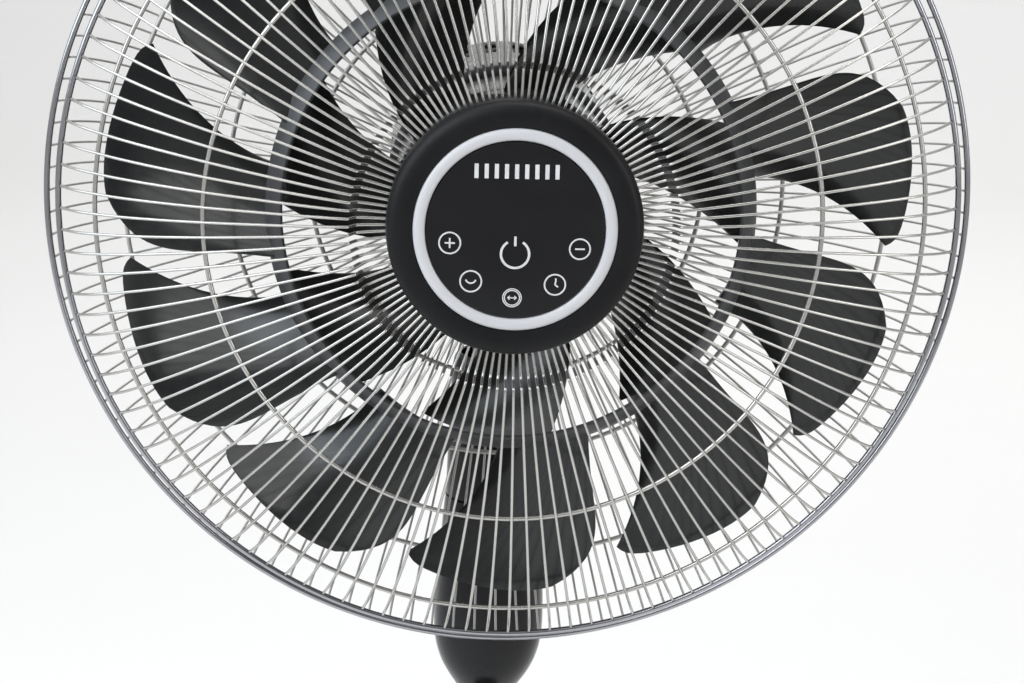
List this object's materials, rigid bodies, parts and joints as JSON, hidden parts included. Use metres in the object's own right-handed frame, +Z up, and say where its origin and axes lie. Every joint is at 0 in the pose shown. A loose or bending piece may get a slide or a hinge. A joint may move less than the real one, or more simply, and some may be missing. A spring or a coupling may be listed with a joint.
{
  "type": "pedestal fan",
  "caption": "Pedestal fan with a round chromed wire guard, swept black impeller, touch panel at its centre, a head that swivels and tilts, and an adjustable pole on a round base.",
  "frame": {"origin": "centre of the base's footprint, on the floor, under the pole's axis", "axes": "+Z up along the pole, the fan blows towards -Y, +X to the right of someone facing the fan"},
  "size_m": [0.4572, 0.38, 1.1374],
  "materials": {
    "gloss_black": "deep gloss moulded black",
    "painted_black": "gloss black enamel on steel tube",
    "satin_black": "satin charcoal plastic",
    "blade_black": "semi-gloss near-black plastic",
    "chrome_wire": "bright plated wire and tube",
    "ring_grey": "light grey translucent plastic",
    "steel": "plain steel",
    "cast_iron": "rough cast iron",
    "copper": "enamelled copper wire",
    "rubber": "black rubber",
    "white_plastic": "natural acetal",
    "board_green": "green circuit board",
    "magnet": "sintered ferrite"
  },
  "bodies": {
    "base": {"base_cover": "gloss_black", "base_weight": "cast_iron", "base_foot_1": "rubber", "base_foot_2": "rubber", "base_foot_3": "rubber", "base_foot_4": "rubber", "dc_inlet": "satin_black", "pole_socket": "satin_black", "pole_lower": "painted_black", "pole_bolt": "steel", "pole_nut": "steel", "collar_thread": "satin_black", "pole_bush": "white_plastic"},
    "collar": {"height_collar": "satin_black"},
    "mast": {"pole_upper": "chrome_wire", "pole_glide": "white_plastic", "neck_socket": "satin_black", "neck_lower_shell": "gloss_black", "swivel_motor": "steel", "swivel_bearing": "white_plastic"},
    "pinion": {"swivel_pinion": "white_plastic"},
    "swivel": {"swivel_gear": "white_plastic", "swivel_shaft": "steel", "neck_upper_shell": "gloss_black", "tilt_yoke": "satin_black", "tilt_bolt": "steel", "tilt_nut": "steel"},
    "head": {"tilt_lug": "satin_black", "motor_housing_front": "gloss_black", "motor_housing_rear": "gloss_black", "hollow_axle": "steel", "driver_board": "board_green", "stator_core": "steel", "winding_front": "copper", "winding_rear": "copper", "rear_grille": "chrome_wire", "front_grille": "chrome_wire", "grille_nut": "satin_black", "grille_hub_plate": "satin_black", "cap_screw_1": "steel", "cap_screw_2": "steel", "rim_clip_1": "satin_black", "rim_clip_2": "satin_black", "rim_clip_3": "satin_black", "control_cap": "satin_black", "light_ring": "ring_grey", "panel_board": "board_green", "touch_panel": "gloss_black", "panel_cable": "rubber"},
    "rotor": {"rotor_bell": "steel", "magnet_ring": "magnet", "bearing_front": "steel", "bearing_rear": "steel", "blade_nut": "satin_black", "impeller": "blade_black"}
  },
  "joints": [
    {"name": "height_lock", "type": "hinge", "parent": "base", "child": "collar", "pos_m": [0, 0, 0.48], "axis": [0, 0, 1], "range_deg": [0, 120]},
    {"name": "mast_height", "type": "slide", "parent": "base", "child": "mast", "axis": [0, 0, 1], "range_m": [-0.08, 0.12]},
    {"name": "swivel_turn", "type": "hinge", "parent": "mast", "child": "swivel", "pos_m": [0, 0, 0.721], "axis": [0, 0, 1], "range_deg": [-45, 45]},
    {"name": "pinion_turn", "type": "hinge", "parent": "mast", "child": "pinion", "pos_m": [0, 0.0168, 0.68], "axis": [0, 0, 1], "range_deg": [-112.5, 112.5]},
    {"name": "head_tilt", "type": "hinge", "parent": "swivel", "child": "head", "pos_m": [0, 0, 0.823], "axis": [-1, 0, 0], "range_deg": [-12, 28]},
    {"name": "fan_spin", "type": "hinge", "parent": "head", "child": "rotor", "pos_m": [0, -0.112, 0.905], "axis": [0, -1, 0], "continuous": true}
  ],
  "couplings": [
    {"joint": "pinion_turn", "follows": "swivel_turn", "ratio": -2.5}
  ]
}
